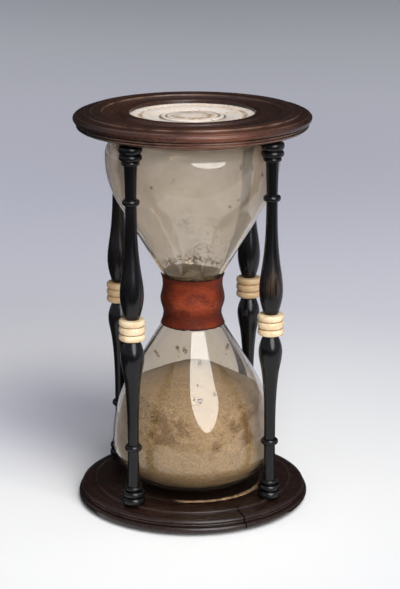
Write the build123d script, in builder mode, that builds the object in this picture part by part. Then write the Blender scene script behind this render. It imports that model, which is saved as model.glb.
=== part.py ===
"""A turned wood and bone hourglass, standing on its lower plate, +Z up, in millimetres.

Two moulded plates hold four balusters, each made of an upper spindle, a bone collar and a lower spindle.
Between the plates stand two blown bulbs, joined mouth to mouth over a pierced disc under a leather binding.
"""

from build123d import *
import math
import os

# Frame
total_height = 190.0
plate_radius = 55.5
plate_thickness = 9.4
glue_gap = 0.05

# Plate rim moulding, from the resting face up to the inner flat
rim_fillet_inset = 5.4
rim_fillet_height = 0.6
torus_crest_height = 3.0
torus_upper_height = 1.55
torus_upper_inset = 1.0
rim_groove_height = 0.5
rim_groove_depth = 1.3
rim_bead_height = 0.95
rim_bead_swell = 0.85
ovolo_overhang = 0.8
ovolo_width = 3.7
step_inset = 8.5
step_drop = 0.3
inner_cove_drop = 0.9

# Plate face, from the opening's lip out to the resting land
face_lip_width = 4.75
face_lip_height = 0.9
face_cove_width = 8.0
face_cove_depth = 1.8
arris_height = 0.5

# Bone dishes
dish_radius = 35.4
dish_shoulder_width = 6.1
dish_shoulder_height = 4.0
dish_face_recess = 1.9
dish_rim_stand = 0.25
dish_rim_width = 3.3
dish_floor_depth = 2.5
dish_floor_radius = 27.0
face_band_width = 3.9
face_band_crown = 0.2
band_groove_width = 2.0
band_groove_depth = 0.6
face_fall = 0.9
ring_radius = 15.1
ring_width = 1.0
ring_depth = 0.6
ring_wall_slant = 0.2
boss_lift = 0.4
boss_bead_width = 1.8
boss_bead_rise = 0.3
button_radius = 8.8
button_rise = 0.3
pad_thickness = 0.9
pad_radius = 12.0

# Balusters
spindle_edge_distance = 10.0
tenon_radius = 2.4
tenon_length = 6.0
dowel_radius = 1.8
dowel_socket_depth = 7.0
hole_end_gap = 0.3
bead_fullness = 0.3
foot_bead_radius = 5.45
foot_bead_height = 3.6
second_bead_radius = 5.3
second_bead_height = 2.7
bead_groove_radius = 3.9
bead_groove_height = 0.4
small_ring_radius = 4.2
small_ring_height = 1.8
shaft_root_radius = 3.0
shaft_radius = 2.6
astragal_radius = 4.05
astragal_height = 2.5
throat_radius = 3.0
flare_radius = 4.0
belly_radius = 5.55
belly_neck_radius = 3.3
collar_height = 9.9
collar_radius = 6.15
collar_edge_height = 3.0
collar_groove_depth = 0.9
collar_groove_height = 0.3

# Distances along a spindle: the astragal's from its plate, the others from its collar
upper_astragal_distance = 26.0
upper_throat_distance = 36.0
upper_flare_distance = 25.0
upper_belly_distance = 11.6
lower_astragal_distance = 28.0
lower_throat_distance = 30.0
lower_flare_distance = 18.5
lower_belly_distance = 8.5

# Glass
neck_rise = 4.75
mouth_radius = 7.5
glass_wall = 1.6
flange_radius = 10.5
flange_height = 1.8
crown_radius = 20.0
crown_flat_radius = 11.0
upper_bulb_gap = 2.0
upper_cone_angle = 30.5
upper_shoulder_radius = 42.0
upper_end_radius = 9.0
upper_end_slope = 9.0
lower_bulb_gap = 4.25
lower_cone_angle = 31.5
lower_shoulder_radius = 66.0
lower_end_radius = 18.5
lower_end_slope = 12.0
shoulder_room_share = 0.7
end_room_share = 0.98

# Neck joint
orifice_disc_thickness = 0.6
orifice_radius = 0.7
thread_height = 6.4
thread_depth = 2.2
leather_thickness = 0.7
leather_half_height = 12.1
leather_waist_height = 6.8
leather_waist_radius = 13.8
leather_bulge_radius = 15.3

# Sand
sand_gap = 0.1
heap_height = 60.4
heap_slope = 25.0
heap_crown_radius = 20.0
residue_height = 16.0
residue_slope = 32.0

# Places worked out from the sizes above
middle_plane = Plane.XY.offset(total_height / 2)
spindle_circle_radius = plate_radius - spindle_edge_distance
spindle_length = (total_height - collar_height) / 2 - plate_thickness
neck_height = total_height / 2 + neck_rise
bulb_end_height = plate_thickness - dish_floor_depth + pad_thickness
upper_mouth_height = neck_height + orifice_disc_thickness / 2
lower_mouth_height = neck_height - orifice_disc_thickness / 2
corners = ("rear_right", "rear_left", "front_left", "front_right")
first_corner_angle = 45
upper_glass = {
    "up": 1,
    "mouth_height": upper_mouth_height,
    "length": total_height - bulb_end_height - upper_mouth_height,
    "side_radius": spindle_circle_radius - shaft_radius - upper_bulb_gap,
    "cone_angle": math.radians(upper_cone_angle),
    "shoulder_radius": upper_shoulder_radius,
    "end_radius": upper_end_radius,
    "end_slope": math.radians(upper_end_slope),
}
lower_glass = {
    "up": -1,
    "mouth_height": lower_mouth_height,
    "length": lower_mouth_height - bulb_end_height,
    "side_radius": spindle_circle_radius - shaft_radius - lower_bulb_gap,
    "cone_angle": math.radians(lower_cone_angle),
    "shoulder_radius": lower_shoulder_radius,
    "end_radius": lower_end_radius,
    "end_slope": math.radians(lower_end_slope),
}

os.makedirs("parts", exist_ok=True)


def save(piece, name):
    """Label one finished piece and write it to its own file."""
    piece.part.label = name
    export_step(piece.part, f"parts/{name}.step")


def bead(crest, low, high):
    """Turn one half-round bead between two heights, and return its curve."""
    root = crest - bead_fullness * (high - low)
    return ThreePointArc((root, low), (crest, (low + high) / 2), (root, high))


def plate_outline():
    """Draw half of a plate's section, resting on its moulded face at height 0."""
    land_radius = plate_radius - rim_fillet_inset
    opening_radius = dish_radius - dish_shoulder_width + glue_gap
    lip_radius = opening_radius + face_lip_width
    arris_radius = lip_radius + face_cove_width
    rabbet_radius = dish_radius + glue_gap
    torus_top = torus_crest_height + torus_upper_height
    torus_top_radius = plate_radius - torus_upper_inset
    groove_radius = torus_top_radius - rim_groove_depth
    bead_low = torus_top + rim_groove_height
    bead_high = bead_low + rim_bead_height
    ovolo_low = bead_high + rim_groove_height
    ovolo_inner = groove_radius + ovolo_overhang - ovolo_width
    step_radius = plate_radius - step_inset
    step_low = plate_thickness - step_drop
    ovolo_high = step_low - inner_cove_drop
    cove_middle = (step_radius + ovolo_inner) / 2
    with BuildLine() as outline:
        lip = ThreePointArc(
            (opening_radius, face_lip_height),
            ((opening_radius + lip_radius) / 2, 0),
            (lip_radius, face_lip_height),
        )
        cove = ThreePointArc(
            lip @ 1,
            ((lip_radius + arris_radius) / 2, face_cove_depth),
            (arris_radius, arris_height),
        )
        Polyline(cove @ 1, (arris_radius, 0), (land_radius, 0), (land_radius, rim_fillet_height))
        EllipticalCenterArc(
            (land_radius, torus_crest_height),
            rim_fillet_inset,
            torus_crest_height - rim_fillet_height,
            start_angle=270,
            arc_size=90,
        )
        EllipticalCenterArc(
            (torus_top_radius, torus_crest_height),
            torus_upper_inset,
            torus_upper_height,
            start_angle=0,
            arc_size=90,
        )
        Polyline((torus_top_radius, torus_top), (groove_radius, torus_top), (groove_radius, bead_low))
        ThreePointArc(
            (groove_radius, bead_low),
            (groove_radius + rim_bead_swell, (bead_low + bead_high) / 2),
            (groove_radius, bead_high),
        )
        Polyline(
            (groove_radius, bead_high),
            (groove_radius, ovolo_low),
            (groove_radius + ovolo_overhang, ovolo_low),
        )
        EllipticalCenterArc(
            (ovolo_inner, ovolo_low),
            ovolo_width,
            ovolo_high - ovolo_low,
            start_angle=0,
            arc_size=90,
        )
        ThreePointArc(
            (ovolo_inner, ovolo_high),
            (cove_middle, ovolo_high + inner_cove_drop / 3),
            (step_radius, step_low),
        )
        Polyline(
            (step_radius, step_low),
            (step_radius, plate_thickness),
            (rabbet_radius, plate_thickness),
            (rabbet_radius, dish_shoulder_height),
            (opening_radius, dish_shoulder_height),
            lip @ 0,
        )
    return outline.edges()


# End plates: turned hardwood, bored for the spindles' tenons, the top one the bottom one turned over
with BuildPart() as bottom_plate:
    with BuildSketch(Plane.XZ):
        make_face(plate_outline())
    revolve(axis=Axis.Z)
    with BuildSketch(Plane.XY.offset(plate_thickness)):
        with PolarLocations(spindle_circle_radius, len(corners), start_angle=first_corner_angle):
            Circle(tenon_radius + glue_gap)
    extrude(amount=-tenon_length - hole_end_gap, mode=Mode.SUBTRACT)
save(bottom_plate, "bottom_plate")

with BuildPart() as top_plate:
    mirror(bottom_plate.part, about=middle_plane)
save(top_plate, "top_plate")


def ring_groove(inner, outer, inner_height, outer_height):
    """Draw one ring cut into a dish's face, deeper than both of its edges."""
    deep = max(inner_height, outer_height) + ring_depth
    return Polyline(
        (inner, inner_height),
        (inner + ring_wall_slant, deep),
        (outer - ring_wall_slant, deep),
        (outer, outer_height),
    )


def dish_outline():
    """Draw half of the lower dish's section: a sunk face with rings below, a hollow for the bulb above."""
    rim_height = plate_thickness + dish_rim_stand
    floor_height = plate_thickness - dish_floor_depth
    face_radius = dish_radius - dish_shoulder_width
    edge_height = dish_face_recess + face_band_crown
    bed_height = edge_height + face_fall
    boss_height = bed_height - boss_lift
    band_inner = face_radius - face_band_width
    face_outer = band_inner - band_groove_width
    boss_radius = ring_radius - ring_width / 2
    bead_inner = boss_radius - boss_bead_width
    with BuildLine() as outline:
        button = TangentArc((0, boss_height - button_rise), (button_radius, boss_height), tangent=(1, 0))
        inner_ring = ring_groove(bead_inner - ring_width, bead_inner, boss_height, boss_height)
        Line(button @ 1, inner_ring @ 0)
        ThreePointArc(
            inner_ring @ 1,
            (bead_inner + boss_bead_width / 2, boss_height - boss_bead_rise),
            (boss_radius, boss_height),
        )
        outer_ring = ring_groove(boss_radius, boss_radius + ring_width, boss_height, bed_height)
        Line(outer_ring @ 1, (face_outer, edge_height))
        ThreePointArc(
            (face_outer, edge_height),
            (face_outer + band_groove_width / 2, edge_height + band_groove_depth),
            (band_inner, edge_height),
        )
        ThreePointArc(
            (band_inner, edge_height),
            (band_inner + face_band_width / 2, dish_face_recess),
            (face_radius, edge_height),
        )
        Polyline(
            (face_radius, edge_height),
            (face_radius, dish_shoulder_height),
            (dish_radius, dish_shoulder_height),
            (dish_radius, rim_height),
            (dish_radius - dish_rim_width, rim_height),
            (dish_floor_radius, floor_height),
            (0, floor_height),
            button @ 0,
        )
    return outline.edges()


# Bone dishes: let into the plates from inside, with a thin leather pad under each bulb's end
with BuildPart() as bottom_bone_dish:
    with BuildSketch(Plane.XZ):
        make_face(dish_outline())
    revolve(axis=Axis.Z)
save(bottom_bone_dish, "bottom_bone_dish")

with BuildPart() as top_bone_dish:
    mirror(bottom_bone_dish.part, about=middle_plane)
save(top_bone_dish, "top_bone_dish")

with BuildPart() as bottom_seat_pad:
    with BuildSketch(Plane.XY.offset(bulb_end_height - pad_thickness)):
        Circle(pad_radius)
    extrude(amount=pad_thickness)
save(bottom_seat_pad, "bottom_seat_pad")

with BuildPart() as top_seat_pad:
    mirror(bottom_seat_pad.part, about=middle_plane)
save(top_seat_pad, "top_seat_pad")


def spindle_outline(astragal_distance, throat_distance, flare_distance, belly_distance):
    """Draw half of a spindle's section, standing on its foot at height 0 with its tenon below."""
    second_low = foot_bead_height + bead_groove_height
    second_high = second_low + second_bead_height
    ring_low = second_high + bead_groove_height
    ring_high = ring_low + small_ring_height
    astragal_low = astragal_distance - astragal_height / 2
    astragal_high = astragal_distance + astragal_height / 2
    with BuildLine() as outline:
        foot = bead(foot_bead_radius, 0, foot_bead_height)
        Polyline(
            (0, spindle_length),
            (0, -tenon_length),
            (tenon_radius, -tenon_length),
            (tenon_radius, 0),
            foot @ 0,
        )
        second = bead(second_bead_radius, second_low, second_high)
        Polyline(
            foot @ 1,
            (bead_groove_radius, foot_bead_height),
            (bead_groove_radius, second_low),
            second @ 0,
        )
        ring = bead(small_ring_radius, ring_low, ring_high)
        Polyline(
            second @ 1,
            (shaft_root_radius, second_high),
            (shaft_root_radius, ring_low),
            ring @ 0,
        )
        astragal = bead(astragal_radius, astragal_low, astragal_high)
        shaft = ThreePointArc(
            (shaft_root_radius, ring_high),
            ((shaft_root_radius + 2 * shaft_radius) / 3, (ring_high + astragal_low) / 2),
            (shaft_radius, astragal_low),
        )
        Line(ring @ 1, shaft @ 0)
        Line(shaft @ 1, astragal @ 0)
        belly = Spline(
            (shaft_radius, astragal_high),
            (throat_radius, spindle_length - throat_distance),
            (flare_radius, spindle_length - flare_distance),
            (belly_radius, spindle_length - belly_distance),
            (belly_neck_radius, spindle_length),
        )
        Line(astragal @ 1, belly @ 0)
        Line(belly @ 1, (0, spindle_length))
    return outline.edges()


# Balusters: each lower spindle's dowel runs up through its bone collar into the upper spindle
with BuildPart() as lower_spindle:
    with BuildSketch(Plane.XZ):
        lower_turning = spindle_outline(
            lower_astragal_distance, lower_throat_distance, lower_flare_distance, lower_belly_distance
        )
        make_face(lower_turning)
    revolve(axis=Axis.Z)
    with BuildSketch(Plane.XY.offset(spindle_length)):
        Circle(dowel_radius)
    extrude(amount=collar_height + dowel_socket_depth)

with BuildPart() as upper_spindle:
    with BuildSketch(Plane.XZ):
        upper_turning = spindle_outline(
            upper_astragal_distance, upper_throat_distance, upper_flare_distance, upper_belly_distance
        )
        make_face(upper_turning)
    revolve(axis=Axis.Z)
    with BuildSketch(Plane.XY.offset(spindle_length)):
        Circle(dowel_radius + glue_gap)
    extrude(amount=-dowel_socket_depth - hole_end_gap, mode=Mode.SUBTRACT)

with BuildPart() as bone_collar:
    middle_low = collar_edge_height + collar_groove_height
    middle_high = collar_height - middle_low
    edge_high = collar_height - collar_edge_height
    groove_radius = collar_radius - collar_groove_depth
    bore_radius = dowel_radius + glue_gap
    with BuildSketch(Plane.XZ):
        with BuildLine():
            low_bead = ThreePointArc(
                (groove_radius, 0),
                (collar_radius, collar_edge_height / 2),
                (groove_radius, collar_edge_height),
            )
            middle_bead = ThreePointArc(
                (groove_radius, middle_low),
                (collar_radius, collar_height / 2),
                (groove_radius, middle_high),
            )
            high_bead = ThreePointArc(
                (groove_radius, edge_high),
                (collar_radius, collar_height - collar_edge_height / 2),
                (groove_radius, collar_height),
            )
            Line(low_bead @ 1, middle_bead @ 0)
            Line(middle_bead @ 1, high_bead @ 0)
            Polyline(high_bead @ 1, (bore_radius, collar_height), (bore_radius, 0), low_bead @ 0)
        make_face()
    revolve(axis=Axis.Z)

for turn, corner in enumerate(corners):
    angle = math.radians(first_corner_angle + turn * 360 / len(corners))
    east = spindle_circle_radius * math.cos(angle)
    north = spindle_circle_radius * math.sin(angle)
    with BuildPart() as placed_lower:
        with Locations((east, north, plate_thickness)):
            add(lower_spindle.part)
    save(placed_lower, f"lower_spindle_{corner}")
    with BuildPart() as placed_collar:
        with Locations((east, north, plate_thickness + spindle_length)):
            add(bone_collar.part)
    save(placed_collar, f"bone_collar_{corner}")
    with BuildPart() as placed_upper:
        with Locations(Location((east, north, total_height - plate_thickness), (180, 0, 0))):
            add(upper_spindle.part)
    save(placed_upper, f"upper_spindle_{corner}")


def bulb_outline(glass, inset):
    """Draw half of a bulb's outline, moved inwards by inset and closed along its axis and its mouth."""
    cone = glass["cone_angle"]
    slope = glass["end_slope"]
    mouth = mouth_radius - inset / math.cos(cone)
    side = glass["side_radius"] - inset
    end = glass["length"] - inset
    flat = crown_flat_radius - inset * math.tan(slope / 2)
    shoulder_height = (side - mouth) / math.tan(cone)
    end_corner_height = end - (side - flat) * math.tan(slope)
    side_run = end_corner_height - shoulder_height
    end_turn = math.tan((math.pi / 2 - slope) / 2)
    shoulder = min(glass["shoulder_radius"] - inset, shoulder_room_share * side_run / math.tan(cone / 2))
    room_for_end = side_run - shoulder * math.tan(cone / 2)
    end_round = min(glass["end_radius"] - inset, end_room_share * room_for_end / end_turn)
    points = [(mouth, 0), (side, shoulder_height), (side, end_corner_height), (flat, end), (0, end)]
    placed = [(radius, glass["mouth_height"] + glass["up"] * height) for radius, height in points]
    with BuildLine() as outline:
        wall = FilletPolyline(*placed, radius=[shoulder, end_round, crown_radius - inset])
        Polyline(wall @ 1, (0, glass["mouth_height"]), wall @ 0)
    return outline.edges()


def flange_outline(glass, gap):
    """Draw the flat rim round a bulb's mouth, grown by gap."""
    near = glass["mouth_height"]
    far = near + glass["up"] * (flange_height + gap)
    with BuildLine() as outline:
        Polyline((0, near), (flange_radius + gap, near), (flange_radius + gap, far), (0, far), close=True)
    return outline.edges()


# Bulbs: blown thin, their mouths turned out to a flange
for name, glass in (("upper_bulb", upper_glass), ("lower_bulb", lower_glass)):
    with BuildPart() as bulb:
        with BuildSketch(Plane.XZ):
            make_face(bulb_outline(glass, 0))
            make_face(flange_outline(glass, 0))
            make_face(bulb_outline(glass, glass_wall), mode=Mode.SUBTRACT)
        revolve(axis=Axis.Z)
    save(bulb, name)

# Pierced disc between the two mouths
with BuildPart() as orifice_disc:
    with BuildSketch(Plane.XY.offset(lower_mouth_height)):
        Circle(flange_radius)
        Circle(orifice_radius, mode=Mode.SUBTRACT)
    extrude(amount=orifice_disc_thickness)
save(orifice_disc, "orifice_disc")


def leather_line(offset):
    """Draw the leather's inner line, moved outwards by offset, from its lower edge to its upper one."""
    edge_rise = leather_half_height - orifice_disc_thickness / 2
    lower_edge = mouth_radius + edge_rise * math.tan(lower_glass["cone_angle"]) + glue_gap
    upper_edge = mouth_radius + edge_rise * math.tan(upper_glass["cone_angle"]) + glue_gap
    waist = leather_waist_radius - leather_thickness
    bulge = leather_bulge_radius - leather_thickness
    return Spline(
        (lower_edge + offset, neck_height - leather_half_height),
        (waist + offset, neck_height - leather_waist_height),
        (bulge + offset, neck_height),
        (waist + offset, neck_height + leather_waist_height),
        (upper_edge + offset, neck_height + leather_half_height),
        tangents=[(-math.tan(lower_glass["cone_angle"]), 1), (math.tan(upper_glass["cone_angle"]), 1)],
    )


def joint_outline():
    """Draw half of all that lies inside the leather."""
    with BuildLine() as outline:
        side = leather_line(-glue_gap)
        Polyline(side @ 1, (0, (side @ 1).Y), (0, (side @ 0).Y), side @ 0)
    return outline.edges()


def thread_outline(gap):
    """Draw the room that the thread takes up, grown by gap and open to the leather."""
    inner = leather_bulge_radius - leather_thickness - thread_depth - gap
    outer = leather_bulge_radius
    half = thread_height / 2 + gap
    with BuildLine() as outline:
        Polyline(
            (inner, neck_height - half),
            (outer, neck_height - half),
            (outer, neck_height + half),
            (inner, neck_height + half),
            close=True,
        )
    return outline.edges()


# Neck joint: wax over both flanges, thread bound round it, red leather over all
with BuildPart() as neck_wax:
    with BuildSketch(Plane.XZ):
        make_face(joint_outline())
        make_face(thread_outline(glue_gap), mode=Mode.SUBTRACT)
        for glass in (upper_glass, lower_glass):
            make_face(bulb_outline(glass, -glue_gap), mode=Mode.SUBTRACT)
            make_face(flange_outline(glass, glue_gap), mode=Mode.SUBTRACT)
        with BuildLine():
            disc_radius = flange_radius + glue_gap
            Polyline(
                (0, lower_mouth_height),
                (disc_radius, lower_mouth_height),
                (disc_radius, upper_mouth_height),
                (0, upper_mouth_height),
                close=True,
            )
        make_face(mode=Mode.SUBTRACT)
    revolve(axis=Axis.Z)
save(neck_wax, "neck_wax")

with BuildPart() as neck_thread:
    with BuildSketch(Plane.XZ):
        make_face(joint_outline())
        make_face(thread_outline(0), mode=Mode.INTERSECT)
    revolve(axis=Axis.Z)
save(neck_thread, "neck_thread")

with BuildPart() as neck_leather:
    with BuildSketch(Plane.XZ):
        with BuildLine():
            inside = leather_line(0)
            outside = leather_line(leather_thickness)
            Line(inside @ 0, outside @ 0)
            Line(inside @ 1, outside @ 1)
        make_face()
    revolve(axis=Axis.Z)
save(neck_leather, "neck_leather")

# Sand: a low heap in the lower bulb, and a ring with a pit in what is left in the upper bulb
with BuildPart() as lower_sand:
    with BuildSketch(Plane.XZ):
        make_face(bulb_outline(lower_glass, glass_wall + sand_gap))
        apex = bulb_end_height + heap_height
        reach = lower_glass["side_radius"]
        with BuildLine():
            crown = CenterArc((0, apex - heap_crown_radius), heap_crown_radius, 90, -heap_slope)
            fall = (reach - (crown @ 1).X) * math.tan(math.radians(heap_slope))
            Polyline(
                crown @ 1,
                (reach, (crown @ 1).Y - fall),
                (reach, bulb_end_height),
                (0, bulb_end_height),
                crown @ 0,
            )
        make_face(mode=Mode.INTERSECT)
    revolve(axis=Axis.Z)
save(lower_sand, "lower_sand")

with BuildPart() as upper_sand:
    with BuildSketch(Plane.XZ):
        make_face(bulb_outline(upper_glass, glass_wall + sand_gap))
        floor = upper_mouth_height + sand_gap
        reach = mouth_radius + residue_height * math.tan(upper_glass["cone_angle"])
        pit = upper_mouth_height + residue_height - reach * math.tan(math.radians(residue_slope))
        with BuildLine():
            Polyline(
                (0, floor),
                (reach, floor),
                (reach, upper_mouth_height + residue_height),
                (0, max(pit, floor + sand_gap)),
                close=True,
            )
        make_face(mode=Mode.INTERSECT)
    revolve(axis=Axis.Z)
save(upper_sand, "upper_sand")
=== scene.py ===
"""An old turned hourglass: ebony balusters, bone fittings, a leather-bound neck, on a white studio floor."""

import math

import bpy
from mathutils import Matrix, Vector
from mathutils.geometry import interpolate_bezier


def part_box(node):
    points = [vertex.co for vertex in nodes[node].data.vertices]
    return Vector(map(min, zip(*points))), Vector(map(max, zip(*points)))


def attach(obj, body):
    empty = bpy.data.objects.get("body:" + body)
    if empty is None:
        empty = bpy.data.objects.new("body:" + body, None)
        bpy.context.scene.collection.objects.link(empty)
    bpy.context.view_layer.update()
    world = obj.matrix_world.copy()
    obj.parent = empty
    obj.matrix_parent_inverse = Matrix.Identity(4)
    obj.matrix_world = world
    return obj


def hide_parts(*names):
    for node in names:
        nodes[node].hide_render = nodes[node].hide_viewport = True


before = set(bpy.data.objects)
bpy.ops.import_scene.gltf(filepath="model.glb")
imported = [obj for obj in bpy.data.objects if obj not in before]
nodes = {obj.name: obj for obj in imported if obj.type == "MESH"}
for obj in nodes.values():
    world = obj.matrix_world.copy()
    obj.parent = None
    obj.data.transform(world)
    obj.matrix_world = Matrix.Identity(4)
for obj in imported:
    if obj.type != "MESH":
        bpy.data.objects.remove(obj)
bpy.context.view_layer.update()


# End plates: two discs of dark red-brown hardwood, turned on a lathe with a moulded rim and waxed.
# The lower one rests on its broad land, and the upper one is the same turning the other way up.
# Age has opened one radial crack in the lower rim and rubbed the arrises pale; the pale arrises are also a
# painted glint where their rounded edges catch light.
plate_radius = 0.0555
plate_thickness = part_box("bottom_plate")[1].z
total_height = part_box("top_plate")[1].z
plate_opening = 0.02935
plate_rabbet = 0.03545
plate_rabbet_height = 0.0040
plate_lip_radii = (0.0317, 0.0341)
plate_lip_round = 0.0009
plate_cove_corner = (0.0381, 0.0029)
plate_land_radii = (0.0421, 0.0501)
plate_land_edge = 0.0005
torus_heights = (0.0006, 0.0030, 0.00455)
torus_top_radius = 0.0545
torus_groove = (0.0550, 0.0022)
torus_groove_edges = (0.0021, 0.0023)
rim_neck_radius = 0.0532
rim_bead_heights = (0.00505, 0.0060)
rim_bead_crest = 0.05405
ovolo_radii = (0.0540, 0.0503)
ovolo_heights = (0.0065, 0.0082)
step_cove_radius = 0.0480
step_cove_height = 0.0091
plate_step_radius = 0.0470
plate_arris_wear = 0.00018
plate_arris_reach = 0.00040
lathe_steps = 180
crack_angle = math.radians(-71)
crack_inner_radius = 0.041
crack_width = 0.0009
crack_wander = 0.0003
crack_bends = 9
crack_tip_share = 0.15
crack_overshoot = 0.004
crack_lift = 0.001
crack_shade_width = 0.0011
crack_shade_radii = (0.0405, 0.0445)
crack_shade_heights = (0.02, 0.01)
front_highlight_radii = (0.0400, 0.0530)
front_highlight_y = (-0.026, -0.050)
front_highlight_around_x = (0.007, 0.044)
shaded_plate_sides = (0.032, 0.050)
darker_inner_radii = (0.0490, 0.0450)
darker_right_side = (0.002, 0.022)


def arc_between(start, corner, end, points=9):
    """Points of a round from start to end that leaves and arrives along the lines through the corner."""
    start, corner, end = (Vector((radius, height, 0)) for radius, height in (start, corner, end))
    turn = (corner - start).angle(end - corner)
    pull = 4 / 3 * math.tan(turn / 4) / math.tan(turn / 2)
    curve = interpolate_bezier(start, start.lerp(corner, pull), end.lerp(corner, pull), end, points)
    return [(point.x, point.y) for point in curve]


def bead(low, high, root, crest):
    """Points of one half-round bead between two heights, from its root out to its crest and back."""
    middle = (low + high) / 2
    return arc_between((root, low), (crest, low), (crest, middle)) + arc_between(
        (crest, middle), (crest, high), (root, high)
    )


def turn_on_lathe(name, outline, steps):
    """Draw an outline of radii and heights point by point, and spin it round the glass's axis."""
    bpy.ops.object.select_all(action="DESELECT")
    bpy.ops.mesh.primitive_plane_add(size=0.001)
    piece = bpy.context.object
    piece.name = name
    bpy.ops.object.mode_set(mode="EDIT")
    bpy.ops.mesh.merge(type="CENTER")
    radius, height = outline[0]
    bpy.ops.transform.translate(value=(radius, 0, height))
    for next_radius, next_height in outline[1:]:
        if abs(next_radius - radius) + abs(next_height - height) < 1e-7:
            continue
        step = (next_radius - radius, 0, next_height - height)
        bpy.ops.mesh.extrude_vertices_move(TRANSFORM_OT_translate={"value": step})
        radius, height = next_radius, next_height
    bpy.ops.mesh.select_all(action="SELECT")
    bpy.ops.mesh.spin(steps=steps, angle=2 * math.pi, center=(0, 0, 0), axis=(0, 0, 1))
    bpy.ops.mesh.select_all(action="SELECT")
    bpy.ops.mesh.remove_doubles(threshold=2e-6)
    bpy.ops.mesh.normals_make_consistent(inside=False)
    bpy.ops.object.mode_set(mode="OBJECT")
    return piece


def work_over(piece, kind, **settings):
    """Put one modifier on a piece and apply it."""
    bpy.context.view_layer.objects.active = piece
    modifier = piece.modifiers.new(kind.title(), kind)
    for setting, value in settings.items():
        setattr(modifier, setting, value)
    bpy.ops.object.modifier_apply(modifier=modifier.name)


def push(piece, direction, size, strength, **settings):
    """Push a piece's points in and out along one direction, by clouds of this size."""
    clouds = bpy.data.textures.new(f"{piece.name}_clouds", "CLOUDS")
    clouds.noise_scale = size
    work_over(piece, "DISPLACE", texture=clouds, texture_coords="LOCAL", direction=direction,
              strength=strength, **settings)


def smooth(piece, angle=35):
    """Shade a piece smooth, apart from edges sharper than the angle."""
    bpy.ops.object.select_all(action="DESELECT")
    piece.select_set(True)
    bpy.context.view_layer.objects.active = piece
    bpy.ops.object.shade_smooth_by_angle(angle=math.radians(angle))


def copy_of(piece, name, location, rotation=(0, 0, 0)):
    """Copy a piece with its own mesh, and set the copy's place and turn into that mesh."""
    bpy.ops.object.select_all(action="DESELECT")
    piece.select_set(True)
    bpy.context.view_layer.objects.active = piece
    bpy.ops.object.duplicate()
    copy = bpy.context.object
    copy.name = name
    copy.location = location
    copy.rotation_euler = rotation
    bpy.ops.object.transform_apply(location=True, rotation=True, scale=True)
    return copy


def dress(piece, node, material):
    """Give a piece its material, and let it stand for its node of the solid model."""
    piece.data.materials.append(material)
    nodes[node].data.materials[0] = material
    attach(piece, "root")
    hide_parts(node)


def start_finish(name):
    """Start a material, and return it with its node tree, its shader and the piece's own coordinates."""
    material = bpy.data.materials.new(name)
    material.use_nodes = True
    tree = material.node_tree
    shader = tree.nodes["Principled BSDF"]
    where = tree.nodes.new("ShaderNodeTexCoord").outputs["Object"]
    return material, tree, shader, where


def feed(tree, node, inputs):
    """Feed each named input of a node with a number, a colour or another node's output."""
    for name, value in inputs.items():
        if isinstance(value, bpy.types.NodeSocket):
            tree.links.new(value, node.inputs[name])
        else:
            node.inputs[name].default_value = value


def lay(tree, kind, inputs, **settings):
    """Add a node, set it up, feed its inputs, and return its outputs."""
    made = tree.nodes.new(f"ShaderNode{kind}")
    for setting, value in settings.items():
        setattr(made, setting, value)
    feed(tree, made, inputs)
    return made.outputs


def noise(tree, where, scale, detail=4.0, stretch=(1, 1, 1), roughness=0.55, distortion=0.0):
    """A cloudy pattern on a piece's own coordinates, of this many spots to the metre along each axis."""
    size = [scale * share for share in stretch]
    spread = lay(tree, "Mapping", {"Vector": where, "Scale": size})["Vector"]
    settings = {"Vector": spread, "Scale": 1.0, "Detail": detail, "Roughness": roughness}
    return lay(tree, "TexNoise", {**settings, "Distortion": distortion})["Fac"]


def band(tree, value, low, high, to_low=0.0, to_high=1.0):
    """Spread a value between two limits smoothly over another range."""
    limits = {"Value": value, "From Min": low, "From Max": high, "To Min": to_low, "To Max": to_high}
    return lay(tree, "MapRange", limits, interpolation_type="SMOOTHSTEP")["Result"]


def blend(tree, share, under, over):
    """Lay one colour over another by a share."""
    return lay(tree, "Mix", {0: share, 6: under, 7: over}, data_type="RGBA")[2]


def times(tree, first, second):
    """Two values multiplied."""
    return lay(tree, "Math", {0: first, 1: second}, operation="MULTIPLY")[0]


def larger(tree, first, second):
    """The larger of two values."""
    return lay(tree, "Math", {0: first, 1: second}, operation="MAXIMUM")[0]


def near(tree, value, centre, reach):
    """A share of 1 where a value meets the centre, falling to 0 at this distance from it."""
    away = lay(tree, "Math", {0: value, 1: centre}, operation="SUBTRACT")[0]
    return band(tree, lay(tree, "Math", {0: away}, operation="ABSOLUTE")[0], reach, 0.0)


def from_axis(tree, place):
    """The distance from the glass's axis, from a point's separate coordinates."""
    flat = lay(tree, "CombineXYZ", {"X": place["X"], "Y": place["Y"]})[0]
    return lay(tree, "VectorMath", {0: flat}, operation="LENGTH")["Value"]


def rough_up(tree, shader, height, depth, strength=1.0):
    """Give a shader fine relief of this depth in metres."""
    relief = lay(tree, "Bump", {"Height": height, "Distance": depth, "Strength": strength})["Normal"]
    feed(tree, shader, {"Normal": relief})


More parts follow.
